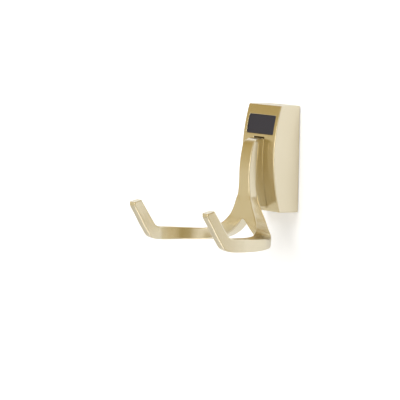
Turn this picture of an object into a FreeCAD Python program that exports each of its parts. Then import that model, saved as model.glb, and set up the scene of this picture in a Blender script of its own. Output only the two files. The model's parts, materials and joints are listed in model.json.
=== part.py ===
"""Double robe hook: a cast post that hangs on a hidden wall bracket and carries one cast hook.

Millimetres. The origin is the middle of the back, on the wall. +X is to the right for someone
facing the wall, +Y goes into the wall and +Z is up, so the hook reaches out towards -Y.
"""

import FreeCAD, Part

import math
import os

import PartDesign
import Sketcher

Vector = FreeCAD.Vector

# Driving dimensions
SIZES = {
    # Post, a casting with an arched front
    "post_width": 36.8,
    "post_height": 64.0,
    "post_end_depth": 13.2,
    "post_crown": 4.1,
    "post_wall": 2.4,
    "post_round": 0.8,
    # Dark inset near the top of the post's front
    "inset_width": 30.4,
    "inset_height": 11.5,
    "inset_below_top": 6.1,
    "inset_sink": 0.4,
    "inset_thickness": 1.0,
    "inset_corner": 1.0,
    "inset_gap": 0.1,
    # Web of the hook and its seat in the post
    "web_width": 11.6,
    "web_drop": 29.4,
    "seat_reach": 12.0,
    "seat_side_gap": 0.15,
    "seat_top_gap": 0.7,
    "seat_floor": 3.0,
    "seat_wall": 2.4,
    # Screws that hold the hook
    "screw_radius": 2.0,
    "screw_gap": 0.25,
    "screw_length": 10.0,
    "screw_tap_gap": 0.05,
    "screw_tap_spare": 1.0,
    "screw_head_radius": 3.5,
    "screw_head_height": 2.4,
    "screw_head_round": 0.7,
    "screw_key_radius": 1.45,
    "screw_key_depth": 1.4,
    "upper_screw_height": 1.5,
    "lower_screw_drop": 18.5,
    # Folded wall bracket
    "bracket_width": 24.0,
    "bracket_sheet": 1.6,
    "bracket_flange": 7.0,
    "bracket_drop": 25.0,
    "bracket_corner": 3.0,
    "bracket_bend": 1.0,
    "wall_hole_radius": 2.3,
    "wall_hole_spacing": 26.0,
    # Set screw in the underside
    "set_screw_radius": 2.0,
    "set_screw_gap": 0.05,
    "set_screw_reach": 4.6,
    "set_screw_sink": 0.5,
    "set_screw_point_radius": 1.0,
    "set_screw_point": 1.0,
    "set_screw_key_radius": 1.15,
    "set_screw_key_depth": 2.0,
    # Stem of the hook, seen from the side
    "stem_width": 12.1,
    "stem_front": 27.25,
    "stem_top": 12.0,
    "stem_head_front": 24.2,
    "stem_head_round": 5.5,
    "stem_bend_drop": 2.2,
    "stem_bend_round": 75.0,
    "stem_back": 20.4,
    "stem_hollow": 25.2,
    "stem_hollow_drop": 9.5,
    "stem_hollow_round": 80.0,
    "stem_hollow_end_drop": 31.0,
    "head_corner": 3.5,
    # Legs, seen from the front: the outer flare and the fork between them
    "flare_drop": 24.0,
    "flare_round": 34.5,
    "flare_foot_spread": 23.0,
    "flare_foot_drop": 47.2,
    "flare_foot_ease": 1.38,
    "flare_end_drop": 45.4,
    "flare_end_gap": 0.9,
    "flare_tilt": 0.15,
    "fork_drop": 35.2,
    "fork_round": 2.8,
    "fork_knee_spread": 9.5,
    "fork_knee_drop": 43.9,
    "fork_knee_round": 20.0,
    "fork_foot_spread": 26.5,
    "fork_foot_drop": 50.3,
    "fork_foot_round": 6.0,
    "fork_end_spread": 31.0,
    "fork_end_drop": 54.5,
    # Arms, seen from above: both lines of their sweep run at 45 degrees between two rounds
    "inner_sweep_spread": 17.9,
    "inner_sweep_round": 18.4,
    "inner_arm_round": 20.5,
    "outer_sweep_spread": 23.5,
    "outer_sweep_round": 18.0,
    "outer_arm_round": 29.0,
    "arm_spread": 46.6,
    "arm_width": 6.2,
    # Arms and tips, seen from the side
    "heel_reach": 33.5,
    "heel_round": 6.0,
    "arm_rear_top_drop": 44.4,
    "arm_front_top_drop": 43.9,
    "inner_bend_round": 3.0,
    "tip_drop": 27.2,
    "tip_front_reach": 80.1,
    "tip_thickness": 5.2,
    "tip_inner_lean": 10.6,
    "tip_outer_lean": 13.8,
    "outer_bend_drop": 51.3,
    "outer_bend_round": 9.0,
    "arm_belly_length": 24.3,
    "arm_belly_drop": 52.2,
    "arm_belly_round": 50.0,
    "arm_rear_reach": 22.0,
    "arm_rear_drop": 51.2,
}

doc = FreeCAD.newDocument("double_robe_hook")
sheet = doc.addObject("Spreadsheet::Sheet", "Sizes")


def fill_sheet():
    """Put every driving dimension in a cell of its own, with its name as the alias."""
    for row, (name, value) in enumerate(SIZES.items(), start=1):
        sheet.set(f"A{row}", name)
        sheet.set(f"B{row}", str(value))
        sheet.setAlias(f"B{row}", name)
    doc.recompute()


def size(expression):
    """Value of an expression on the sheet's cells, as a plain number."""
    value = sheet.evalExpression(expression)
    return float(getattr(value, "Value", value))


def c(name):
    """The cell of a named size, as it is written in an expression."""
    return f"Sizes.{name}"


fill_sheet()

# The arched front is part of a cylinder that lies across the post
ARCH_RADIUS = f"(({c('post_height')} / 2)^2 + {c('post_crown')}^2) / (2 * {c('post_crown')})"
ARCH_MIDDLE = f"({ARCH_RADIUS} - {c('post_end_depth')} - {c('post_crown')})"
HALF_HEIGHT = f"{c('post_height')} / 2"
CAVITY_TOP = f"({HALF_HEIGHT} - {c('post_wall')})"
SEAT_BACK = f"({c('seat_reach')} - {c('seat_floor')})"
SET_SCREW_HEIGHT = f"(-{HALF_HEIGHT} + {c('set_screw_sink')})"


def front_y(height, inset="0"):
    """Y of the arched front at a height, or of a surface that lies inset behind it."""
    return f"({ARCH_MIDDLE} - sqrt(({ARCH_RADIUS} - ({inset}))^2 - ({height})^2))"


def new_body(label):
    body = doc.addObject("PartDesign::Body", label)
    body.Label = label
    return body


def new_sketch(body, name, role, offset=None):
    """A sketch on one of the body's origin planes, moved by an expression if one is given."""
    sketch = body.newObject("Sketcher::SketchObject", name)
    plane = next(f for f in body.Origin.OriginFeatures if f.Role == role)
    sketch.AttachmentSupport = (plane, [""])
    sketch.MapMode = "FlatFace"
    if offset:
        sketch.setExpression("AttachmentOffset", offset)
    return sketch


def hold(sketch, kind, *arguments, expression):
    """Add a dimension and bind it to an expression."""
    index = sketch.addConstraint(Sketcher.Constraint(kind, *arguments, size(expression)))
    sketch.setExpression(f"Constraints[{index}]", expression)


def pin(sketch, shape, point, x, y):
    """Bind a point of a shape to a place given by two expressions."""
    for kind, axis, expression in (("DistanceX", -2, x), ("DistanceY", -1, y)):
        if expression == "0":
            sketch.addConstraint(Sketcher.Constraint("PointOnObject", shape, point, axis))
        else:
            hold(sketch, kind, -1, 1, shape, point, expression=expression)


def draw_outline(sketch, corners):
    """Draw a closed outline, anticlockwise.

    A corner is (x, y) or (x, y, radius): the radius makes the side that leaves the corner an
    arc, which bulges outwards, or inwards where its expression starts with a minus sign.
    """
    points = [Vector(size(corner[0]), size(corner[1]), 0) for corner in corners]
    starts = []
    for index, corner in enumerate(corners):
        here, there = points[index], points[(index + 1) % len(points)]
        if len(corner) == 2:
            sketch.addGeometry(Part.LineSegment(here, there), False)
            starts.append((1, 2))
            continue
        inwards = corner[2].startswith("-")
        radius = size(corner[2].lstrip("-"))
        if inwards:
            here, there = there, here
        chord = there - here
        left = Vector(-chord.y, chord.x, 0).normalize()
        middle = (here + there) * 0.5 + left * math.sqrt(radius**2 - (chord.Length / 2) ** 2)
        angles = [math.atan2(p.y - middle.y, p.x - middle.x) for p in (here, there)]
        circle = Part.Circle(middle, Vector(0, 0, 1), radius)
        sketch.addGeometry(Part.ArcOfCircle(circle, *angles), False)
        starts.append((2, 1) if inwards else (1, 2))
    for index, corner in enumerate(corners):
        following = (index + 1) % len(corners)
        sketch.addConstraint(
            Sketcher.Constraint("Coincident", index, starts[index][1], following, starts[following][0])
        )
        pin(sketch, index, starts[index][0], corner[0], corner[1])
        if len(corner) == 3:
            hold(sketch, "Radius", index, expression=corner[2].lstrip("-"))


def draw_rounded(sketch, corners):
    """Draw a closed outline of straight sides whose corners may be rounded.

    A corner is (x, y) or (x, y, radius). A rounded corner is an arc that is tangent to both of
    its sides, and a construction point keeps the place where the sides would meet.
    """
    count = len(corners)
    points = [Vector(size(corner[0]), size(corner[1]), 0) for corner in corners]
    leaves, arrives, radii = [], [], []
    for index, corner in enumerate(corners):
        here = points[index]
        back = (points[index - 1] - here).normalize()
        ahead = (points[(index + 1) % count] - here).normalize()
        radius = size(corner[2]) if len(corner) == 3 else 0
        cut = radius / math.tan(back.getAngle(ahead) / 2)
        arrives.append(here + back * cut)
        leaves.append(here + ahead * cut)
        radii.append(radius)
    for index in range(count):
        sketch.addGeometry(Part.LineSegment(leaves[index], arrives[(index + 1) % count]), False)
    for index, corner in enumerate(corners):
        before = (index - 1) % count
        if not radii[index]:
            sketch.addConstraint(Sketcher.Constraint("Coincident", before, 2, index, 1))
            pin(sketch, index, 1, corner[0], corner[1])
            continue
        start, end = arrives[index], leaves[index]
        inward = (points[index - 1] - points[index]).normalize() + (
            points[(index + 1) % count] - points[index]).normalize()
        reach = math.sqrt((start - points[index]).Length ** 2 + radii[index] ** 2)
        middle = points[index] + inward.normalize() * reach
        first, last = start - middle, end - middle
        forwards = first.x * last.y - first.y * last.x > 0
        angles = [math.atan2(arm.y, arm.x) for arm in ((first, last) if forwards else (last, first))]
        circle = Part.Circle(middle, Vector(0, 0, 1), radii[index])
        arc = sketch.addGeometry(Part.ArcOfCircle(circle, *angles), False)
        ends = (1, 2) if forwards else (2, 1)
        sketch.addConstraint(Sketcher.Constraint("Tangent", before, 2, arc, ends[0]))
        sketch.addConstraint(Sketcher.Constraint("Tangent", arc, ends[1], index, 1))
        hold(sketch, "Radius", arc, expression=corner[2])
        meet = sketch.addGeometry(Part.Point(points[index]), True)
        pin(sketch, meet, 1, corner[0], corner[1])
        sketch.addConstraint(Sketcher.Constraint("PointOnObject", meet, 1, before))
        sketch.addConstraint(Sketcher.Constraint("PointOnObject", meet, 1, index))


def draw_circle(sketch, x, y, radius):
    circle = Part.Circle(Vector(size(x), size(y), 0), Vector(0, 0, 1), size(radius))
    shape = sketch.addGeometry(circle, False)
    pin(sketch, shape, 3, x, y)
    hold(sketch, "Radius", shape, expression=radius)


def rectangle(low_x, low_y, high_x, high_y):
    return [(low_x, low_y), (high_x, low_y), (high_x, high_y), (low_x, high_y)]


def hexagon(radius):
    """Corners of a hexagon socket, where the radius is half its width across flats."""
    angles = [60 * turn + 30 for turn in range(6)]
    reach = f"({radius} / cos(30))"
    return [(f"{reach} * cos({angle})", f"{reach} * sin({angle})") for angle in angles]


def add_feature(body, kind, name, profile=None, **options):
    """Add a feature. An option given as a string that names a cell is bound as an expression."""
    feature = body.newObject(f"PartDesign::{kind}", name)
    if profile:
        feature.Profile = profile
    for option, value in options.items():
        if isinstance(value, str) and "Sizes." in value:
            setattr(feature, option, size(value))
            feature.setExpression(option, value)
        else:
            setattr(feature, option, value)
    body.Tip = feature
    doc.recompute()
    return feature


def cut(body, name, profile, expected, **options):
    """Add a pocket and make sure that it takes away the expected volume."""
    before = body.Shape.Volume
    feature = add_feature(body, "Pocket", name, profile, **options)
    taken = before - body.Shape.Volume
    if abs(taken - expected) > 0.01 * expected:
        raise RuntimeError(f"{name} takes {taken:.2f} mm3 and should take {expected:.2f}")
    return feature


def across(body, kind, name, width, corners):
    """Pad or pocket a side outline, drawn in Y and Z, by the same amount to the left and right."""
    profile = new_sketch(body, f"{name}_outline", "YZ_Plane")
    draw_outline(profile, corners)
    return add_feature(body, kind, name, profile, Length=width, SideType="Symmetric")


def round_edges(body, name, radius, wanted):
    """Round the edges of the body's last feature for which wanted is true."""
    base = body.Tip
    names = [f"Edge{i}" for i, edge in enumerate(base.Shape.Edges, start=1) if wanted(edge)]
    fillet = body.newObject("PartDesign::Fillet", name)
    fillet.Base = (base, names)
    fillet.setExpression("Radius", radius)
    body.Tip = fillet
    doc.recompute()
    return fillet


def is_flat(edge, axis):
    """Whether an edge keeps one value along an axis."""
    return getattr(edge.BoundBox, f"{axis}Length") < 1e-4


def runs_along(edge, axis):
    """Whether an edge is straight and parallel to an axis."""
    return all(is_flat(edge, other) for other in "XYZ" if other != axis)


def make_post():
    """Cast cover: arched front, open back, seat for the web, recess for the inset."""
    body = new_body("base_housing")
    end_y = front_y(HALF_HEIGHT)
    across(body, "Pad", "block", c("post_width"), [
        ("0", HALF_HEIGHT), (end_y, HALF_HEIGHT, ARCH_RADIUS),
        (end_y, f"-{HALF_HEIGHT}"), ("0", f"-{HALF_HEIGHT}"),
    ])
    round_edges(body, "block_rounds", c("post_round"), lambda edge: edge.BoundBox.YMin < -1)

    wall = c("post_wall")
    inner_y = front_y(CAVITY_TOP, wall)
    across(body, "Pocket", "cavity", f"{c('post_width')} - 2 * {wall}", [
        (wall, CAVITY_TOP), (inner_y, CAVITY_TOP, f"{ARCH_RADIUS} - {wall}"),
        (inner_y, f"-{CAVITY_TOP}"), (wall, f"-{CAVITY_TOP}"),
    ])

    half_wall = f"({wall} / 2)"
    top = f"({c('stem_top')} + {c('seat_top_gap')} + {c('seat_wall')})"
    bottom = f"(-{c('web_drop')} - {c('seat_side_gap')} - {half_wall})"
    half_width = f"({c('web_width')} / 2 + {c('seat_side_gap')})"
    across(body, "Pad", "seat_block", f"2 * ({half_width} + {c('seat_wall')})", [
        (f"-{SEAT_BACK}", top), (front_y(top, half_wall), top, f"{ARCH_RADIUS} - {half_wall}"),
        (front_y(bottom, half_wall), bottom), (f"-{SEAT_BACK}", bottom),
    ])
    across(body, "Pocket", "web_seat", f"2 * {half_width}", rectangle(
        f"-2 * {c('post_end_depth')}", f"-{c('web_drop')} - {c('seat_side_gap')}",
        f"-{c('seat_reach')}", f"{c('stem_top')} + {c('seat_top_gap')}",
    ))

    inset_top = f"({HALF_HEIGHT} - {c('inset_below_top')})"
    inset_low = f"({inset_top} - {c('inset_height')})"
    floor = f"({c('inset_sink')} + {c('inset_thickness')})"
    across(body, "Pocket", "inset_recess", c("inset_width"), [
        (f"-2 * {c('post_end_depth')}", inset_top), (f"-2 * {c('post_end_depth')}", inset_low),
        (front_y(inset_low, floor), inset_low, f"-({ARCH_RADIUS} - {floor})"),
        (front_y(inset_top, floor), inset_top),
    ])
    low, high = size(inset_low), size(inset_top)
    half_inset = size(f"{c('inset_width')} / 2")
    round_edges(body, "recess_corners", c("inset_corner"), lambda edge: (
        runs_along(edge, "Y")
        and abs(abs(edge.BoundBox.XMin) - half_inset) < 1e-3
        and low - 1e-3 < edge.BoundBox.ZMin < high + 1e-3
    ))

    holes = new_sketch(body, "screw_clearance_outline", "XZ_Plane")
    clearance = f"{c('screw_radius')} + {c('screw_gap')}"
    draw_circle(holes, "0", c("upper_screw_height"), clearance)
    draw_circle(holes, "0", f"-{c('lower_screw_drop')}", clearance)
    add_feature(body, "Pocket", "screw_clearance", holes, Type="ThroughAll", SideType="Symmetric")

    tapped = new_sketch(body, "set_screw_hole_outline", "XY_Plane",
                        f"placement(vector(0; 0; -{HALF_HEIGHT}); rotation(vector(0; 0; 1); 0))")
    tap = f"{c('set_screw_radius')} + {c('set_screw_gap')}"
    draw_circle(tapped, "0", f"-{c('set_screw_reach')}", tap)
    cut(body, "set_screw_hole", tapped, math.pi * size(tap) ** 2 * size(wall),
        Length=f"{wall} * 1.5", Reversed=True)
    return body


def make_inset():
    """Dark plate that fills the recess and follows the arch of the front."""
    body = new_body("face_inset")
    gap, sink = c("inset_gap"), c("inset_sink")
    top = f"({HALF_HEIGHT} - {c('inset_below_top')} - {gap})"
    low = f"({top} - {c('inset_height')} + 2 * {gap})"
    back = f"({sink} + {c('inset_thickness')})"
    across(body, "Pad", "plate", f"{c('inset_width')} - 2 * {gap}", [
        (front_y(top, back), top), (front_y(top, sink), top, f"{ARCH_RADIUS} - {sink}"),
        (front_y(low, sink), low), (front_y(low, back), low, f"-({ARCH_RADIUS} - {back})"),
    ])
    round_edges(body, "plate_corners", f"{c('inset_corner')} - {gap}",
                lambda edge: runs_along(edge, "Y") or (is_flat(edge, "X") and edge.BoundBox.ZLength < 1))
    return body


def both_halves(right):
    """Add the mirror image of the right half of an outline."""
    left = [(f"-({corner[0]})", *corner[1:]) for corner in reversed(right)]
    return right + left


def trim(body, name, role, corners):
    """Cut away all that lies outside an outline, straight through the body."""
    profile = new_sketch(body, f"{name}_outline", role)
    draw_rounded(profile, corners)
    far = 1.5 * max(abs(size(value)) for corner in corners for value in corner[:2])
    frame = [Vector(-far, -far, 0), Vector(far, -far, 0), Vector(far, far, 0), Vector(-far, far, 0)]
    for index, here in enumerate(frame):
        profile.addGeometry(Part.LineSegment(here, frame[(index + 1) % 4]), False)
    return add_feature(body, "Pocket", name, profile, Type="ThroughAll", SideType="Symmetric")


def make_hook():
    """One casting: web, stem and the two legs that sweep forward into arms and upturned tips.

    The stem, legs and arms are what three outlines have in common: from the front, from above
    and from the side.
    """
    body = new_body("hook")
    half_stem = f"({c('stem_width')} / 2)"
    inner = f"({c('arm_spread')} - {c('arm_width')})"
    clear = c("arm_width")
    beside = f"({c('arm_spread')} + {clear})"
    below = f"(-{c('arm_belly_drop')} - 3 * {clear})"

    # The round at the flare's foot is in proportion to the level run that follows it
    foot_round = f"(({inner} - {c('flare_foot_spread')}) * {c('flare_foot_ease')})"
    front = new_sketch(body, "front_outline", "XZ_Plane",
                       f"placement(vector(0; 0; {c('stem_front')}); rotation(vector(0; 0; 1); 0))")
    draw_rounded(front, both_halves([
        (beside, below),
        (beside, f"-{c('tip_drop')} + {clear}"),
        (f"{inner} - {c('flare_end_gap')}", f"-{c('tip_drop')} + {clear}"),
        (f"{inner} - {c('flare_end_gap')}", f"-{c('flare_end_drop')}"),
        (c("flare_foot_spread"), f"-{c('flare_foot_drop')}", foot_round),
        (half_stem, f"-{c('flare_drop')}", c("flare_round")),
        (half_stem, f"{c('stem_top')} + {clear}"),
    ]))
    add_feature(body, "Pad", "front_blank", front, Type="Length", SideType="Two sides",
                Length=c("tip_front_reach"), Length2=c("stem_front"),
                UseCustomVector=True, Direction=Vector(0, -1, size(c("flare_tilt"))))

    end = f"-({c('tip_front_reach')} + {clear})"
    inner_arm_reach = f"({c('stem_front')} + {inner} - {c('inner_sweep_spread')})"
    outer_arm_reach = f"({c('stem_back')} + {c('arm_spread')} - {c('outer_sweep_spread')})"
    trim(body, "plan", "XY_Plane", both_halves([
        (c("inner_sweep_spread"), f"-{c('stem_front')}", c("inner_sweep_round")),
        (inner, f"-{inner_arm_reach}", c("inner_arm_round")),
        (inner, end),
        (c("arm_spread"), end),
        (c("arm_spread"), f"-{outer_arm_reach}", c("outer_arm_round")),
        (c("outer_sweep_spread"), f"-{c('stem_back')}", c("outer_sweep_round")),
    ]))
    head_line = [
        (f"-{c('stem_head_front')}", c("stem_top"), c("stem_head_round")),
        (f"-{c('stem_front')}", f"-{c('stem_bend_drop')}", c("stem_bend_round")),
    ]
    tip_back = f"({c('tip_front_reach')} - {c('tip_thickness')})"
    inner_bend = f"({tip_back} - {c('tip_inner_lean')})"
    outer_bend = f"({c('tip_front_reach')} - {c('tip_outer_lean')})"
    trim(body, "side", "YZ_Plane", head_line + [
        (f"-{c('stem_front')}", f"-{c('flare_drop')}"),
        (f"-{c('heel_reach')}", f"-{c('arm_rear_top_drop')}", c("heel_round")),
        (f"-{inner_bend}", f"-{c('arm_front_top_drop')}", c("inner_bend_round")),
        (f"-{tip_back}", f"-{c('tip_drop')}"),
        (f"-{c('tip_front_reach')}", f"-{c('tip_drop')}"),
        (f"-{outer_bend}", f"-{c('outer_bend_drop')}", c("outer_bend_round")),
        (f"-({outer_bend} - {c('arm_belly_length')})", f"-{c('arm_belly_drop')}", c("arm_belly_round")),
        (f"-{c('arm_rear_reach')}", f"-{c('arm_rear_drop')}"),
        (f"-{c('stem_back')}", f"-{c('stem_hollow_end_drop')}"),
        (f"-{c('stem_hollow')}", f"-{c('stem_hollow_drop')}", c("stem_hollow_round")),
        (f"-{c('stem_back')}", c("stem_top")),
    ])
    fork = new_sketch(body, "fork_outline", "XZ_Plane")
    draw_rounded(fork, [("0", f"-{c('fork_drop')}", c("fork_round"))] + both_halves([
        (c("fork_knee_spread"), f"-{c('fork_knee_drop')}", c("fork_knee_round")),
        (c("fork_foot_spread"), f"-{c('fork_foot_drop')}", c("fork_foot_round")),
        (c("fork_end_spread"), f"-{c('fork_end_drop')}"),
    ]))
    add_feature(body, "Pocket", "fork", fork, Type="ThroughAll", SideType="Symmetric")

    web = new_sketch(body, "web_outline", "YZ_Plane")
    draw_rounded(web, head_line + [
        (f"-{c('stem_front')}", f"-{c('web_drop')}"),
        (f"-{c('seat_reach')}", f"-{c('web_drop')}"),
        (f"-{c('seat_reach')}", c("stem_top")),
    ])
    add_feature(body, "Pad", "web", web, Length=c("web_width"), SideType="Symmetric")
    trim(body, "head", "XZ_Plane", both_halves([
        (half_stem, c("stem_top"), c("head_corner")),
        (half_stem, f"-{c('stem_bend_drop')}"),
        (beside, f"-{c('stem_bend_drop')}"),
        (beside, below),
    ]))

    taps = new_sketch(body, "screw_taps_outline", "XZ_Plane",
                      f"placement(vector(0; 0; {c('seat_reach')}); rotation(vector(0; 0; 1); 0))")
    tap = f"{c('screw_radius')} + {c('screw_tap_gap')}"
    draw_circle(taps, "0", c("upper_screw_height"), tap)
    draw_circle(taps, "0", f"-{c('lower_screw_drop')}", tap)
    depth = f"{c('screw_length')} - {c('seat_floor')} + {c('screw_tap_spare')}"
    cut(body, "screw_taps", taps, 2 * math.pi * size(tap) ** 2 * size(depth),
        Length=depth, Reversed=True)
    return body


def make_bracket():
    """Folded plate: the post hangs over its top edge, the set screw bears on its lower flange."""
    body = new_body("wall_bracket")
    half_width = f"({c('bracket_width')} / 2)"
    low = f"-{c('bracket_drop')}"
    sheet_thickness = c("bracket_sheet")
    bend_outer = f"({c('bracket_bend')} + {sheet_thickness})"
    profile = new_sketch(body, "folded_outline", "YZ_Plane")
    draw_rounded(profile, [
        ("0", CAVITY_TOP, bend_outer), ("0", low, bend_outer), (f"-{c('bracket_flange')}", low),
        (f"-{c('bracket_flange')}", f"{low} + {sheet_thickness}"),
        (f"-{sheet_thickness}", f"{low} + {sheet_thickness}", c("bracket_bend")),
        (f"-{sheet_thickness}", f"{CAVITY_TOP} - {sheet_thickness}", c("bracket_bend")),
        (f"-{c('bracket_flange')}", f"{CAVITY_TOP} - {sheet_thickness}"),
        (f"-{c('bracket_flange')}", CAVITY_TOP),
    ])
    add_feature(body, "Pad", "folded_sheet", profile, Length=c("bracket_width"), SideType="Symmetric")
    reach = -size(c("bracket_flange"))
    round_edges(body, "flange_corners", c("bracket_corner"), lambda edge: (
        runs_along(edge, "Z") and abs(edge.BoundBox.YMin - reach) < 1e-3
    ))

    holes = new_sketch(body, "wall_holes_outline", "XZ_Plane")
    middle = f"({CAVITY_TOP} - {c('bracket_drop')}) / 2"
    for side in ("+", "-"):
        draw_circle(holes, "0", f"{middle} {side} {c('wall_hole_spacing')} / 2", c("wall_hole_radius"))
    area = 2 * math.pi * size(c("wall_hole_radius")) ** 2
    cut(body, "wall_holes", holes, area * size(sheet_thickness), Length=sheet_thickness, Reversed=True)

    seat = new_sketch(body, "point_seat_outline", "XY_Plane",
                      f"placement(vector(0; 0; {low}); rotation(vector(0; 0; 1); 0))")
    radius = f"{c('set_screw_point_radius')} + {c('set_screw_gap')}"
    draw_circle(seat, "0", f"-{c('set_screw_reach')}", radius)
    cut(body, "point_seat", seat, math.pi * size(radius) ** 2 * size(sheet_thickness),
        Length=sheet_thickness, Reversed=True)
    return body


def make_hook_screw(label, height):
    """Cap screw that passes through the seat's floor into the web."""
    body = new_body(label)
    parts = [
        ("head", c("screw_head_height"), c("screw_head_radius"), True),
        ("shank", c("screw_length"), c("screw_radius"), False),
    ]
    for name, length, radius, backwards in parts:
        outline = new_sketch(body, f"{name}_outline", "XZ_Plane",
                             f"placement(vector(0; {height}; {SEAT_BACK}); rotation(vector(0; 0; 1); 0))")
        draw_circle(outline, "0", "0", radius)
        add_feature(body, "Pad", name, outline, Length=length, Reversed=backwards)
    head_y = -size(SEAT_BACK) + size(c("screw_head_height"))
    round_edges(body, "head_round", c("screw_head_round"), lambda edge: (
        is_flat(edge, "Y") and abs(edge.BoundBox.YMin - head_y) < 1e-3
    ))
    socket = new_sketch(body, "socket_outline", "XZ_Plane", (
        f"placement(vector(0; {height}; {SEAT_BACK} - {c('screw_head_height')}); "
        "rotation(vector(0; 0; 1); 0))"
    ))
    draw_outline(socket, hexagon(c("screw_key_radius")))
    area = 2 * math.sqrt(3) * size(c("screw_key_radius")) ** 2
    cut(body, "socket", socket, area * size(c("screw_key_depth")),
        Length=c("screw_key_depth"), Reversed=True)
    return body


def make_set_screw():
    """Grub screw in the post's underside, with its point in the bracket's lower flange."""
    body = new_body("set_screw")
    flange = f"-{c('bracket_drop')}"

    def at(height):
        return f"placement(vector(0; -{c('set_screw_reach')}; {height}); rotation(vector(0; 0; 1); 0))"

    for name, start, length, radius in (
        ("thread", SET_SCREW_HEIGHT, f"{flange} - {SET_SCREW_HEIGHT}", c("set_screw_radius")),
        ("point", flange, c("set_screw_point"), c("set_screw_point_radius")),
    ):
        outline = new_sketch(body, f"{name}_outline", "XY_Plane", at(start))
        draw_circle(outline, "0", "0", radius)
        add_feature(body, "Pad", name, outline, Length=length)
    socket = new_sketch(body, "socket_outline", "XY_Plane", at(SET_SCREW_HEIGHT))
    draw_outline(socket, hexagon(c("set_screw_key_radius")))
    area = 2 * math.sqrt(3) * size(c("set_screw_key_radius")) ** 2
    cut(body, "socket", socket, area * size(c("set_screw_key_depth")),
        Length=c("set_screw_key_depth"), Reversed=True)
    return body


def make_bodies():
    return [
        make_post(),
        make_inset(),
        make_hook(),
        make_bracket(),
        make_hook_screw("hook_screw_upper", c("upper_screw_height")),
        make_hook_screw("hook_screw_lower", f"-{c('lower_screw_drop')}"),
        make_set_screw(),
    ]


def export(bodies):
    """Check every object and write one file for each sub-part."""
    doc.recompute()
    for item in doc.Objects:
        if {"Invalid", "Error"} & set(item.State):
            raise RuntimeError(f"{item.Label} failed: {item.State}")
    for body in bodies:
        if body.Shape.isNull() or not body.Shape.isValid():
            raise RuntimeError(f"{body.Label} has no valid shape")
    os.makedirs("parts", exist_ok=True)
    for body in bodies:
        body.Shape.exportStep(f"parts/{body.Label}.step")
        print(body.Label, "solids", len(body.Shape.Solids), "volume", round(body.Shape.Volume, 2))


export(make_bodies())
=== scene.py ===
"""Looks of a double robe hook: satin champagne brass, a charcoal inset and a white studio.

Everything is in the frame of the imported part: +X to the right for someone facing the wall, +Y into
the wall, +Z up, with the origin on the wall behind the middle of the post. The classes of the hook
and the post hold their sizes in millimetres, and put_mesh turns them into metres. The studio and
the finishes are in metres.
"""

import json
import logging
import math
from collections.abc import Callable
from dataclasses import dataclass
from enum import Enum
from typing import Any

import bmesh
import bpy
import numpy as np
from mathutils import Matrix, Vector

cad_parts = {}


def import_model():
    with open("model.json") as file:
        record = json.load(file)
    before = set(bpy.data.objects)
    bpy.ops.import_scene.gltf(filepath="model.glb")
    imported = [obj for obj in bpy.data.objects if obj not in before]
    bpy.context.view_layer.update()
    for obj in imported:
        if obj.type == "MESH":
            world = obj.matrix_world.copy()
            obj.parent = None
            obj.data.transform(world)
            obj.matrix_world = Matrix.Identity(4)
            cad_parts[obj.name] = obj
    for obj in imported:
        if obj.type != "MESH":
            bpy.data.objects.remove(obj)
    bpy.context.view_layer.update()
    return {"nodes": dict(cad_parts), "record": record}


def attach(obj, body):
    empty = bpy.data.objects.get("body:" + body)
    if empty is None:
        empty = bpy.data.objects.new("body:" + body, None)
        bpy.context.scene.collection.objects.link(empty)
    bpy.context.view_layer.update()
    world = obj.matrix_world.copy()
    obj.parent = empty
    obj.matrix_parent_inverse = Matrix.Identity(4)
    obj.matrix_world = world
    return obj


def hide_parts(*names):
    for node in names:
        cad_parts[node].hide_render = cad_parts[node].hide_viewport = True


LOG = logging.getLogger("robe_hook")
MM = 0.001

# Places round a quarter circle at which a rounded rim has a row of points.
RIM_ANGLES = np.radians([15.0, 30.0, 45.0, 60.0, 75.0, 90.0])
# Sums of slopes below this count as none, so that nothing is divided by them.
NO_SLOPE = 1e-12
# The weight at which large faces alone steer the shading of the edges next to them.
LARGE_FACES_LEAD = 100

# A place or direction, a linear colour, a box's left, right, low and high, and the radii of its
# lower right, upper right, upper left and lower left corners.
Place = tuple[float, float, float]
Colour = tuple[float, float, float]
Box = tuple[float, float, float, float]
Radii = tuple[float, float, float, float]


class Slot(Enum):
    """Material slots of the record."""

    BRASS = "champagne_brass"
    INSET = "charcoal_inset"
    STEEL = "zinc_steel"


def feed(tree: bpy.types.NodeTree, node: bpy.types.Node, sources: dict[str | int, Any]) -> None:
    """Give a node's inputs what goes into them.

    Args:
        tree: The node's tree.
        node: The node.
        sources: For each input, by name or number, a socket to join to it or a plain value.
    """
    for name, source in sources.items():
        if isinstance(source, bpy.types.NodeSocket):
            tree.links.new(source, node.inputs[name])
        else:
            node.inputs[name].default_value = source


def add_node(tree: bpy.types.NodeTree, kind: str, sources: dict[str | int, Any] | None = None,
             **settings: Any) -> bpy.types.Node:
    """Add a node, with its settings made first, because they choose which inputs it has.

    Args:
        tree: The tree of a material, of the room or of a group.
        kind: Blender's name for the type of node.
        sources: What goes into its inputs, as in feed.
        settings: Values of the node's own settings, such as its operation.

    Returns:
        The new node.
    """
    node = tree.nodes.new(kind)
    for name, value in settings.items():
        setattr(node, name, value)
    feed(tree, node, sources or {})
    return node


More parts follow.
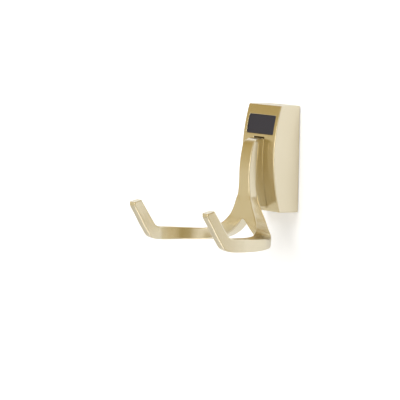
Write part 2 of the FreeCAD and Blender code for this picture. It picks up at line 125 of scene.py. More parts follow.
@dataclass(frozen=True)
class SatinEffect:
    """What the satin metals share: a fine grain, drawn out along the height, and soft clouds.

    Args:
        grain_scale: Scale of the grain's noise, across.
        grain_stretch: The grain's scale along the height, as a share of that across.
        grain_detail: Finer layers of the grain.
        cloud_scale: Scale of the clouds' noise.
        cloud_detail: Finer layers of the clouds.
        base_roughness: Roughness where a material sets none.
        roughness_spread: How much the grain varies the roughness.
    """

    grain_scale: float = 2400.0
    grain_stretch: float = 0.12
    grain_detail: float = 3.0
    cloud_scale: float = 60.0
    cloud_detail: float = 4.0
    base_roughness: float = 0.3
    roughness_spread: float = 0.06

    def build(self) -> bpy.types.NodeTree:
        """Build the node group, in which roughness = base + spread * (grain - 1/2).

        Returns:
            A group that puts out a cloud mask, a roughness and a height for a Bump node.
        """
        group = bpy.data.node_groups.new("satin_metal", "ShaderNodeTree")
        for name, start in (("Grain Scale", self.grain_scale), ("Cloud Scale", self.cloud_scale),
                            ("Base Roughness", self.base_roughness),
                            ("Roughness Spread", self.roughness_spread)):
            socket = group.interface.new_socket(name=name, in_out="INPUT", socket_type="NodeSocketFloat")
            socket.default_value = start
        for name in ("Cloud", "Roughness", "Height"):
            group.interface.new_socket(name=name, in_out="OUTPUT", socket_type="NodeSocketFloat")
        entry = add_node(group, "NodeGroupInput")
        place = add_node(group, "ShaderNodeTexCoord")
        stretch = add_node(group, "ShaderNodeMapping", {
            "Vector": place.outputs["Object"], "Scale": (1.0, 1.0, self.grain_stretch)})
        grain = add_node(group, "ShaderNodeTexNoise", {
            "Vector": stretch.outputs["Vector"], "Scale": entry.outputs["Grain Scale"],
            "Detail": self.grain_detail})
        cloud = add_node(group, "ShaderNodeTexNoise", {
            "Vector": place.outputs["Object"], "Scale": entry.outputs["Cloud Scale"],
            "Detail": self.cloud_detail})
        centred = add_node(group, "ShaderNodeMath", {0: grain.outputs["Fac"], 1: 0.5}, operation="SUBTRACT")
        roughness = add_node(group, "ShaderNodeMath", {
            0: centred.outputs["Value"], 1: entry.outputs["Roughness Spread"],
            2: entry.outputs["Base Roughness"]}, operation="MULTIPLY_ADD")
        add_node(group, "NodeGroupOutput", {
            "Cloud": cloud.outputs["Fac"], "Roughness": roughness.outputs["Value"],
            "Height": grain.outputs["Fac"]})
        return group


@dataclass(frozen=True)
class SatinMetal:
    """A satin metal finish.

    Args:
        name: The material's name.
        light: Linear colour of the lighter clouds.
        dark: Linear colour of the darker clouds.
        roughness: Mean roughness.
        grain: Height of the grain in metres.
        bump_strength: Share of that height which shows.
    """

    name: str
    light: Colour
    dark: Colour
    roughness: float
    grain: float
    bump_strength: float = 0.5

    def build(self, satin: bpy.types.NodeTree) -> bpy.types.Material:
        """Make the material: its colour goes from dark to light with the clouds.

        Args:
            satin: The group of the shared satin effect.

        Returns:
            The material.
        """
        material = bpy.data.materials.new(self.name)
        material.use_nodes = True
        tree = material.node_tree
        effect = add_node(tree, "ShaderNodeGroup", {"Base Roughness": self.roughness}, node_tree=satin)
        tint = add_node(tree, "ShaderNodeMix", {
            "Factor": effect.outputs["Cloud"], "A": (*self.dark, 1.0), "B": (*self.light, 1.0)},
            data_type="RGBA")
        bump = add_node(tree, "ShaderNodeBump", {
            "Height": effect.outputs["Height"], "Distance": self.grain, "Strength": self.bump_strength})
        feed(tree, tree.nodes["Principled BSDF"], {
            "Metallic": 1.0, "Base Color": tint.outputs["Result"],
            "Roughness": effect.outputs["Roughness"], "Normal": bump.outputs["Normal"]})
        return material


@dataclass(frozen=True)
class CharcoalInset:
    """Smooth dark plate of a low gloss, with a faint fleck.

    Args:
        name: The material's name.
        colour: Mean linear colour.
        roughness: Mean roughness.
        gloss_level: Specular level, where 0.5 is plain plastic.
        fleck_scale: Scale of the flecks' noise.
        fleck_detail: Finer layers of the flecks.
        colour_spread: Share by which a fleck is darker or lighter than the mean.
        roughness_spread: How far a fleck's roughness is from the mean.
    """

    name: str = "charcoal_inset_finish"
    colour: Colour = (0.020, 0.022, 0.040)
    roughness: float = 0.35
    gloss_level: float = 0.35
    fleck_scale: float = 900.0
    fleck_detail: float = 2.0
    colour_spread: float = 0.15
    roughness_spread: float = 0.04

    def build(self) -> bpy.types.Material:
        """Make the material: near-black, with flecks in its colour and its roughness.

        Returns:
            The material.
        """
        material = bpy.data.materials.new(self.name)
        material.use_nodes = True
        tree = material.node_tree
        place = add_node(tree, "ShaderNodeTexCoord")
        fleck = add_node(tree, "ShaderNodeTexNoise", {
            "Vector": place.outputs["Object"], "Scale": self.fleck_scale, "Detail": self.fleck_detail})
        colours = add_node(tree, "ShaderNodeValToRGB", {"Fac": fleck.outputs["Fac"]})
        spreads = (-self.colour_spread, self.colour_spread)
        for element, spread in zip(colours.color_ramp.elements, spreads):
            element.color = (*((1 + spread) * value for value in self.colour), 1.0)
        roughness = add_node(tree, "ShaderNodeMapRange", {
            "Value": fleck.outputs["Fac"], "To Min": self.roughness - self.roughness_spread,
            "To Max": self.roughness + self.roughness_spread})
        feed(tree, tree.nodes["Principled BSDF"], {
            "Specular IOR Level": self.gloss_level, "Base Color": colours.outputs["Color"],
            "Roughness": roughness.outputs["Result"]})
        return material


@dataclass(frozen=True)
class StudioWhite:
    """White paper of the wall and floor: bright to the camera, keeps the shadow, clear from behind.

    Mirror rays also see a painted glow on the floor: a round bright spot that no lamp lights, in place
    of a low lamp, so that the metal mirrors it as a painted highlight.

    Args:
        name: The material's name.
        colour: Linear colour of the paper.
        seen_lift: Light of its own that the camera sees.
        mirror_lift: Light of its own that mirror rays see outside the painted glow.
        patch_lift: Strength of the painted glow, the light of its own that mirror rays see in its spot.
        patch_middle: Middle of the painted glow.
        patch_radius: Distance from the middle at which the painted glow ends.
        patch_core: Share of the radius within which the painted glow has its full strength.
    """

    name: str
    colour: Colour = (0.9, 0.9, 0.9)
    seen_lift: float = 0.31
    mirror_lift: float = 0.04
    patch_lift: float = 2.3
    patch_middle: Place = (0.46, -0.68, -0.90)
    patch_radius: float = 0.36
    patch_core: float = 0.6

    def build(self) -> bpy.types.Material:
        """Make the material: lit paper, with a little light of its own for camera and mirror rays.

        That light is seen_lift for a camera ray, and for a mirror ray a smooth step of the distance
        from the painted glow's middle, from mirror_lift outside it to patch_lift within its core.

        Returns:
            The material.
        """
        material = bpy.data.materials.new(self.name)
        material.use_nodes = True
        tree = material.node_tree
        tree.nodes.clear()
        ray = add_node(tree, "ShaderNodeLightPath")
        place = add_node(tree, "ShaderNodeTexCoord")
        away = add_node(tree, "ShaderNodeVectorMath", {
            0: place.outputs["Object"], 1: self.patch_middle}, operation="DISTANCE")
        # Painted glow: a round bright spot on the paper, seen only by mirror rays, in place of a low lamp.
        patch = add_node(tree, "ShaderNodeMapRange", {
            "Value": away.outputs["Value"], "From Min": self.patch_radius,
            "From Max": self.patch_core * self.patch_radius, "To Min": self.mirror_lift,
            "To Max": self.patch_lift}, interpolation_type="SMOOTHSTEP")
        seen = add_node(tree, "ShaderNodeMath", {
            0: ray.outputs["Is Camera Ray"], 1: self.seen_lift}, operation="MULTIPLY")
        lift = add_node(tree, "ShaderNodeMath", {
            0: ray.outputs["Is Glossy Ray"], 1: patch.outputs["Result"], 2: seen.outputs["Value"]},
            operation="MULTIPLY_ADD")
        glow = add_node(tree, "ShaderNodeEmission", {"Strength": lift.outputs["Value"]})
        paper = add_node(tree, "ShaderNodeBsdfDiffuse", {"Color": (*self.colour, 1.0)})
        front = add_node(tree, "ShaderNodeAddShader", {0: paper.outputs["BSDF"], 1: glow.outputs["Emission"]})
        clear = add_node(tree, "ShaderNodeBsdfTransparent")
        side = add_node(tree, "ShaderNodeNewGeometry")
        both = add_node(tree, "ShaderNodeMixShader", {
            "Fac": side.outputs["Backfacing"], 1: front.outputs["Shader"], 2: clear.outputs["BSDF"]})
        add_node(tree, "ShaderNodeOutputMaterial", {"Surface": both.outputs["Shader"]})
        return material


def put_mesh(name: str, points: np.ndarray, quads: np.ndarray, material: bpy.types.Material,
             unit: float = MM) -> bpy.types.Object:
    """Put a quad surface into the scene.

    Args:
        name: Name of the piece.
        points: Vertices, one row each.
        quads: Four vertex numbers for each face.
        material: The finish.
        unit: Metres in a unit of the points.

    Returns:
        The new object, at the origin, with its place in its mesh.
    """
    mesh = bpy.data.meshes.new(name)
    mesh.from_pydata((points * unit).tolist(), [], quads.tolist())
    mesh.materials.append(material)
    piece = bpy.data.objects.new(name, mesh)
    bpy.context.scene.collection.objects.link(piece)
    return piece


def band(numbers: np.ndarray) -> np.ndarray:
    """Quads between closed rows.

    Quad (i, j) has the corners (i, j), (i, j + 1), (i + 1, j + 1) and (i + 1, j), with j counted
    round the row.

    Args:
        numbers: Vertex numbers, one row of them for each row of points.

    Returns:
        Four vertex numbers for each quad.
    """
    low, high = numbers[:-1], numbers[1:]
    return np.stack([low, np.roll(low, -1, 1), np.roll(high, -1, 1), high], axis=-1).reshape(-1, 4)


def join_sheets(sheets: list[list[np.ndarray]]) -> tuple[np.ndarray, np.ndarray]:
    """Join sheets of closed rows into one set of points and quads.

    Args:
        sheets: For each sheet, its rows in order.

    Returns:
        All points, and the vertex numbers of all quads.
    """
    points, quads, start = [], [], 0
    for rows in sheets:
        grid = np.stack(rows)
        count, around = grid.shape[:2]
        quads.append(band(start + np.arange(count * around).reshape(count, around)))
        points.append(grid.reshape(-1, 3))
        start += count * around
    return np.concatenate(points), np.concatenate(quads)


def weld(piece: bpy.types.Object, distance: float = 5e-6) -> None:
    """Merge doubled points, which drops collapsed faces, and turn all faces outwards.

    Args:
        piece: The piece to finish.
        distance: Points nearer than this become one, in metres.
    """
    work = bmesh.new()
    work.from_mesh(piece.data)
    bmesh.ops.remove_doubles(work, verts=work.verts, dist=distance)
    bmesh.ops.recalc_face_normals(work, faces=work.faces)
    loose = [vertex for vertex in work.verts if not vertex.link_faces]
    bmesh.ops.delete(work, geom=loose, context="VERTS")
    open_edges = sum(1 for edge in work.edges if len(edge.link_faces) != 2)
    work.to_mesh(piece.data)
    work.free()
    LOG.info("%s has %d open edges", piece.name, open_edges)


def drill(piece: bpy.types.Object, mouth: Place, radius: float, depth: float, sides: int = 48) -> None:
    """Take a round upright hole out of a closed piece.

    Args:
        piece: The piece.
        mouth: Middle of the hole's lower end, in millimetres.
        radius: Radius in millimetres.
        depth: Depth in millimetres, the same again being added below the mouth.
        sides: Number of flat sides that make the hole round.
    """
    turn = np.linspace(0, 2 * np.pi, sides, endpoint=False)
    circle = np.stack([np.cos(turn), np.sin(turn), np.zeros_like(turn)], axis=1)
    rows = [np.array(mouth) + circle * [reach, reach, 0] + [0, 0, height]
            for reach, height in ((0, -depth), (radius, -depth), (radius, depth), (0, depth))]
    cutter = put_mesh("drill_bit", *join_sheets([rows]), piece.data.materials[0])
    weld(cutter)
    hole = piece.modifiers.new("hole", "BOOLEAN")
    hole.operation, hole.solver, hole.object = "DIFFERENCE", "EXACT", cutter
    graph = bpy.context.evaluated_depsgraph_get()
    drilled = bpy.data.meshes.new_from_object(piece.evaluated_get(graph))
    piece.modifiers.clear()
    piece.data = drilled
    bpy.data.objects.remove(cutter, do_unlink=True)


def smooth_by_angle(piece: bpy.types.Object, limit: float = 38.0) -> None:
    """Shade smooth but for sharp edges, and let large faces steer the shading.

    Args:
        piece: The piece to finish.
        limit: Angle in degrees past which an edge stays sharp.
    """
    piece.data.polygons.foreach_set("use_smooth", np.ones(len(piece.data.polygons), bool))
    piece.data.set_sharp_from_angle(angle=math.radians(limit))
    piece.data.update()
    weighted = piece.modifiers.new("weighted_normals", "WEIGHTED_NORMAL")
    weighted.keep_sharp = True
    weighted.weight = LARGE_FACES_LEAD


def smooth_rows(rows: np.ndarray, steps: int) -> np.ndarray:
    """Fill in between rows with a curve that never overshoots them.

    Each column is a monotone cubic in the row number: its slope at a row is the harmonic mean of
    the slopes on both sides, or zero where they differ in sign.

    Args:
        rows: Values at the named stations, one row each.
        steps: Number of new rows for each gap.

    Returns:
        All rows, named ones included.
    """
    gaps = np.diff(rows, axis=0)
    before, after = gaps[:-1], gaps[1:]
    product, total = before * after, before + after
    inner = np.where(product > 0, 2 * product / np.where(np.abs(total) < NO_SLOPE, 1.0, total), 0.0)
    slopes = np.vstack([gaps[:1], inner, gaps[-1:]])
    t = np.linspace(0, 1, steps, endpoint=False)[None, :, None]
    start, end = rows[:-1, None, :], rows[1:, None, :]
    slope_start, slope_end = slopes[:-1, None, :], slopes[1:, None, :]
    filled = ((2 * t**3 - 3 * t**2 + 1) * start + (t**3 - 2 * t**2 + t) * slope_start
              + (3 * t**2 - 2 * t**3) * end + (t**3 - t**2) * slope_end)
    return np.vstack([filled.reshape(-1, rows.shape[1]), rows[-1:]])


def loop(left: float, right: float, low: float, high: float, radii: Radii,
         run: int = 14, turn: int = 6) -> list[np.ndarray]:
    """Parts of a rectangle with round corners, anticlockwise from its lower right corner.

    A corner's points are middle + radius * (cos a, sin a), where a corner of no radius is one
    point repeated, and each side is divided evenly.

    Args:
        left: Lowest x.
        right: Highest x.
        low: Lowest z.
        high: Highest z.
        radii: Radius of the lower right, upper right, upper left and lower left corner.
        run: Divisions of each straight side.
        turn: Divisions of each corner.

    Returns:
        Four pairs of parts: a corner, and the side that follows it, as (x, z) points.
    """
    share = np.linspace(0, 1, turn + 1)
    signs = ((1, -1), (1, 1), (-1, 1), (-1, -1))
    places = ((right, low), (right, high), (left, high), (left, low))
    arcs = []
    for index, ((x, z), (to_x, to_z), radius) in enumerate(zip(places, signs, radii)):
        angle = (index - 1 + share) * np.pi / 2
        arcs.append(np.stack([x - to_x * radius + radius * np.cos(angle),
                              z - to_z * radius + radius * np.sin(angle)], axis=1))
    parts = []
    along = np.linspace(0, 1, run + 1)[1:-1][:, None]
    for index, arc in enumerate(arcs):
        following = arcs[(index + 1) % 4]
        parts += [arc, arc[-1] * (1 - along) + following[0] * along]
    return parts


def ring_round(box: Box, radius: float) -> np.ndarray:
    """A closed row of (x, z) points round a box with four equal corners."""
    return np.concatenate(loop(*box, (radius,) * 4))


def grow(box: Box, by: float) -> Box:
    """A box with its sides moved outwards, or inwards where the distance is below zero."""
    left, right, low, high = box
    return left - by, right + by, low - by, high + by


def middle_of(box: Box) -> np.ndarray:
    """The (x, z) middle of a box."""
    left, right, low, high = box
    return np.array([left + right, low + high]) / 2


def at_depth(flat: np.ndarray, y: np.ndarray | float) -> np.ndarray:
    """Flat (x, z) points as (x, y, z) points, with a y for each or one for all."""
    return np.stack([flat[:, 0], np.broadcast_to(y, len(flat)), flat[:, 1]], axis=1)


@dataclass(frozen=True)
class Station:
    """Corners of the hook's right half where it is cut across, in millimetres.

    Front corners face the room, and outer ones face away from the fork.

    Args:
        front_outer: (x, y, z) of the front outer corner.
        rear_outer: The same of the rear outer one.
        rear_inner: The same of the rear inner one.
        front_inner: The same of the front inner one.
        inner_radius: Round of the two inner corners.
        outer_radius: Round of the two outer corners.
    """

    front_outer: Place
    rear_outer: Place
    rear_inner: Place
    front_inner: Place
    inner_radius: float = 0.8
    outer_radius: float = 0.8

    def row(self) -> list[float]:
        """All corners, then the radius of each, as one flat row."""
        return [*self.front_outer, *self.rear_outer, *self.rear_inner, *self.front_inner,
                self.outer_radius, self.outer_radius, self.inner_radius, self.inner_radius]


# Cuts across the right leg, arm and tip, from the fork to the tip's end. The number that ends each
# is the round of its inner corners.
ARM_STATIONS = (
    Station((8.2, -27.5, -24.2), (8.2, -21.7, -24.6), (0, -21.7, -29.0), (0, -27.4, -28.6), 0.0),
    Station((10.3, -27.6, -28.6), (10.3, -21.1, -29.0), (0, -21.6, -33.6), (0, -27.5, -33.2), 0.0),
    Station((12.4, -27.7, -31.9), (12.5, -20.7, -32.6), (0, -21.6, -36.6), (0, -27.5, -36.2), 0.0),
    Station((14.3, -27.9, -34.5), (14.7, -20.6, -35.4), (1.9, -21.6, -38.2), (1.9, -27.4, -37.6), 0.5),
    Station((16.4, -28.5, -36.7), (17.1, -20.9, -38.0), (5.0, -21.8, -41.2), (5.0, -27.3, -40.2), 0.8),
    Station((18.6, -29.4, -38.8), (20.2, -21.5, -40.9), (10.0, -22.0, -44.8), (9.8, -27.3, -43.7), 0.9),
    Station((21.0, -30.9, -40.8), (24.3, -22.4, -43.8), (16.5, -21.8, -47.6), (15.4, -28.0, -46.9), 0.9),
    Station((24.4, -33.8, -42.7), (29.3, -24.9, -46.2), (23.3, -22.4, -49.9), (21.6, -29.8, -49.4), 0.9),
    Station((29.4, -38.7, -44.0), (35.2, -30.3, -46.0), (30.0, -26.0, -51.5), (28.2, -37.6, -51.1), 0.9),
    Station((34.0, -44.4, -44.1), (40.8, -37.2, -45.0), (38.6, -34.8, -51.8), (33.7, -44.2, -51.6), 0.9),
    Station((37.4, -50.2, -44.0), (44.8, -45.8, -44.6), (44.5, -44.8, -51.9), (37.2, -50.0, -51.7), 0.9),
    Station((39.6, -56.8, -43.8), (46.4, -54.3, -44.1), (46.4, -54.3, -51.9), (39.5, -56.8, -51.8), 0.9),
    Station((40.2, -61.5, -43.7), (46.5, -60.5, -43.8), (46.5, -61.4, -51.7), (40.2, -62.0, -51.6), 0.9),
    Station((40.2, -64.3, -42.6), (46.5, -64.3, -42.6), (46.5, -66.9, -50.2), (40.2, -67.0, -50.1), 0.9),
    Station((40.2, -66.4, -39.6), (46.5, -66.4, -39.6), (46.5, -71.2, -44.8), (40.2, -71.3, -44.7), 0.9),
    Station((40.2, -70.5, -33.4), (46.5, -70.5, -33.4), (46.5, -75.9, -36.9), (40.2, -75.9, -36.8), 0.9),
    Station((40.2, -74.2, -27.6), (46.5, -74.2, -27.6), (46.5, -79.5, -30.6), (40.2, -79.5, -30.6), 0.9),
    Station((40.4, -74.4, -27.1), (46.3, -74.4, -27.1), (46.3, -79.7, -28.5), (40.4, -79.7, -28.5), 0.9),
)


@dataclass
class ForkedHook:
    """The cast hook: web, stem, fork, arms and tips.

    Sizes are in millimetres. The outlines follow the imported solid's, a little fuller behind the
    stem and inside the arms' bends. Depths are Y, so they are below zero in front of the wall.

    Args:
        half_width: Half the stem's width.
        top: Height of the stem's upper end.
        head_corner: Radius of the stem's upper corners, seen from the front.
        head_arc: Radius of the head, seen from the side.
        head_arc_start: Depth of the head arc's middle.
        head_arc_end: Angle above level, in degrees, at which the head's arc stops.
        upright_from: Height below which the front is upright.
        front: Depth of the upright front.
        rear: Depth of the rear at the stem's upper end.
        hollow: Depth of the rear at the deepest place of its hollow.
        hollow_height: Height of that place.
        hollow_power: Power by which the hollow closes.
        flare_from: Height below which the stem widens.
        flare: The half width grows by fall^2 / flare.
        thinnest: Least depth of the head where front and rear meet.
        edge_round: Round of the stem's long edges.
        edge_share: Most that this round may take of the stem's depth.
        side_lean: How far the sides lean outwards towards the rear.
        stem_heights: Heights at which the stem is cut.
        arm_stations: Cuts across leg, arm and tip.
        steps: New cuts for each gap between two of them.
        corner_points: Points round each corner of a cut.
        corner_share: Most that a corner may take of a side.
        side_shares: Places of the points along each side of a cut.
        cap_shares: Rings that close a tip, as shares of its last ring.
        plane_gap: Distance from the middle plane below which a point lies in it.
        web_half_width: Half the web's width.
        web_corner: Radius of its upper corners.
        web_foot_corner: Radius of its lower corners.
        web_bottom: Height of its lower end.
        web_back: Depth of its back, on the seat's floor.
        web_cover: How far its front stays behind the ribbon's.
        web_crest: Height above which its front comes no further back.
        web_reach: Depth at which its front stops.
    """

    half_width: float = 6.05
    top: float = 12.0
    head_corner: float = 3.5
    head_arc: float = 5.5
    head_arc_start: float = -19.76
    head_arc_end: float = 12.2
    upright_from: float = -10.3
    front: float = -27.25
    rear: float = -20.4
    hollow: float = -21.9
    hollow_height: float = -13.0
    hollow_power: float = 1.7
    flare_from: float = -13.0
    flare: float = 69.0
    thinnest: float = 0.05
    edge_round: float = 0.8
    edge_share: float = 0.3
    side_lean: float = 0.15
    stem_heights: tuple[float, ...] = (
        11.96, 11.85, 11.6, 11.2, 10.6, 9.8, 8.7, 7.2, 5.0, 1.5, -3.0, -8.0, -13.0, -18.0, -22.0)
    arm_stations: tuple[Station, ...] = ARM_STATIONS
    steps: int = 10
    corner_points: int = 7
    corner_share: float = 0.45
    side_shares: tuple[float, ...] = (0.05, 0.3, 0.5, 0.7, 0.95)
    cap_shares: tuple[float, ...] = (0.96, 0.0)
    plane_gap: float = 1e-6
    web_half_width: float = 5.8
    web_corner: float = 0.8
    web_foot_corner: float = 0.3
    web_bottom: float = -29.4
    web_back: float = -12.0
    web_cover: float = 0.5
    web_crest: float = 11.93
    web_reach: float = -24.6

    def stem_front(self, height: float) -> float:
        """Depth of the stem's front: the head's arc, then a curve that eases into the upright.

        The arc is start - sqrt(r^2 - rise^2) with the rise from its middle. Below it the depth is
        shoulder + (front - shoulder) * (1 - (1 - t)^2), where t is the share of the way down.

        Args:
            height: Height of the place.

        Returns:
            The depth.
        """
        end = math.radians(self.head_arc_end)
        shoulder_height = self.top - self.head_arc * (1 - math.sin(end))
        if height >= shoulder_height:
            rise = height - (self.top - self.head_arc)
            return self.head_arc_start - math.sqrt(max(self.head_arc**2 - rise**2, 0.0))
        shoulder = self.head_arc_start - self.head_arc * math.cos(end)
        share = min((shoulder_height - height) / (shoulder_height - self.upright_from), 1.0)
        return shoulder + (self.front - shoulder) * (1 - (1 - share) ** 2)

    def stem_rear(self, height: float) -> float:
        """Depth of the stem's rear: hollow + (rear - hollow) * t^power, t going up from the hollow."""
        share = min(abs(height - self.hollow_height) / (self.top - self.hollow_height), 1.0)
        return self.hollow + (self.rear - self.hollow) * share**self.hollow_power

    def stem_half_width(self, height: float) -> float:
        """Half the stem's width: round upper corners, a straight run, then the flare.

        In a corner it is half_width - r + sqrt(r^2 - rise^2), and in the flare
        half_width + fall^2 / flare.

        Args:
            height: Height of the place.

        Returns:
            Half the width there.
        """
        rise = height - (self.top - self.head_corner)
        if rise > 0:
            return self.half_width - self.head_corner + math.sqrt(max(self.head_corner**2 - rise**2, 0.0))
        fall = max(self.flare_from - height, 0.0)
        return self.half_width + fall**2 / self.flare

    def stem_stations(self) -> list[Station]:
        """Level cuts through the stem, from the head down to where the legs begin.

        Returns:
            A station for each of the stem's heights.
        """
        stations = []
        for height in self.stem_heights:
            wide, rear = self.stem_half_width(height), self.stem_rear(height)
            front = min(self.stem_front(height), rear - self.thinnest)
            radius = min(self.edge_round, self.edge_share * (rear - front))
            stations.append(Station(
                (wide - self.side_lean, front, height), (wide + self.side_lean, rear, height),
                (0, rear, height), (0, front, height), 0.0, radius))
        return stations

    def ring(self, rows: np.ndarray) -> np.ndarray:
        """Points round every cut: four corners rounded by arcs, with straight runs between them.

        A corner is a quadratic curve from one side to the next, so its points are
        (1-t)^2 * entry + 2t(1-t) * corner + t^2 * exit.

        Args:
            rows: One row of four corners and their radii for each cut.

        Returns:
            Array of cuts by points by three.
        """
        corners, radii = rows[:, :-4].reshape(-1, 4, 3), rows[:, -4:, None]
        to_before = np.roll(corners, 1, axis=1) - corners
        to_after = np.roll(corners, -1, axis=1) - corners
        length_before = np.linalg.norm(to_before, axis=2, keepdims=True)
        length_after = np.linalg.norm(to_after, axis=2, keepdims=True)
        entry = corners + to_before * np.minimum(radii / length_before, self.corner_share)
        leave = corners + to_after * np.minimum(radii / length_after, self.corner_share)
        t = np.linspace(0, 1, self.corner_points)[None, None, :, None]
        arcs = ((1 - t) ** 2 * entry[:, :, None] + 2 * t * (1 - t) * corners[:, :, None]
                + t**2 * leave[:, :, None])
        u = np.array(self.side_shares)[None, None, :, None]
        runs = leave[:, :, None] * (1 - u) + np.roll(entry, -1, axis=1)[:, :, None] * u
        return np.concatenate([arcs, runs], axis=2).reshape(len(rows), -1, 3)

    def half(self) -> tuple[np.ndarray, np.ndarray]:
        """The right half: rings joined by quads, with the tip and the head closed.

        The tip's last ring shrinks to its middle, middle + (ring - middle) * share, and the head
        starts from the first ring's middle, moved into the middle plane.

        Returns:
            Points in millimetres and quads. Faces that lie in the middle plane are left out.
        """
        stations = self.stem_stations() + list(self.arm_stations)
        rings = self.ring(smooth_rows(np.array([station.row() for station in stations]), self.steps))
        middle = rings[-1].mean(axis=0)
        cap = middle + (rings[-1][None] - middle) * np.array(self.cap_shares)[:, None, None]
        head = rings[:1].mean(axis=1, keepdims=True) * [0, 1, 1]
        rings = np.concatenate([np.broadcast_to(head, rings[:1].shape), rings, cap])
        points = rings.reshape(-1, 3)
        quads = band(np.arange(len(points)).reshape(rings.shape[:2]))
        in_middle = np.all(np.abs(points[quads][:, :, 0]) < self.plane_gap, axis=1)
        return points, quads[~in_middle]

    def web_rows(self) -> list[np.ndarray]:
        """Rows of the web, from the post's seat into the ribbon.

        Its outline is a rectangle with eased corners. Its front follows the ribbon's from inside:
        y = ribbon front + cover. Back and front close on an upright line in their middle, whose
        ends are half a width from the outline's.

        Returns:
            Closed rows of (x, y, z) points.
        """
        low, high, wide = self.web_bottom, self.top, self.web_half_width
        foot, corner = self.web_foot_corner, self.web_corner
        outline = np.concatenate(loop(-wide, wide, low, high, (foot, corner, corner, foot)))
        line = np.stack([np.zeros(len(outline)), np.clip(outline[:, 1], low + wide, high - wide)], axis=1)
        rows = [at_depth(line, self.web_back), at_depth(outline, self.web_back)]
        for flat in (outline, line):
            front = np.array([self.stem_front(min(height, self.web_crest)) for height in flat[:, 1]])
            rows.append(at_depth(flat, np.maximum(front + self.web_cover, self.web_reach)))
        return rows

    def build(self, finish: bpy.types.Material) -> list[bpy.types.Object]:
        """Build the casting as two pieces, body and web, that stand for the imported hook.

        The left half is the right one with x turned round, and its quads too.

        Args:
            finish: The brass.

        Returns:
            The body and the web.
        """
        points, quads = self.half()
        both = np.concatenate([points, points * [-1, 1, 1]])
        faces = np.concatenate([quads, quads[:, ::-1] + len(points)])
        body = put_mesh("hook_casting", both, faces, finish)
        web = put_mesh("hook_web", *join_sheets([self.web_rows()]), finish)
        for piece in (body, web):
            weld(piece)
            smooth_by_angle(piece)
            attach(piece, "root")
            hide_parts("hook")
        return [body, web]


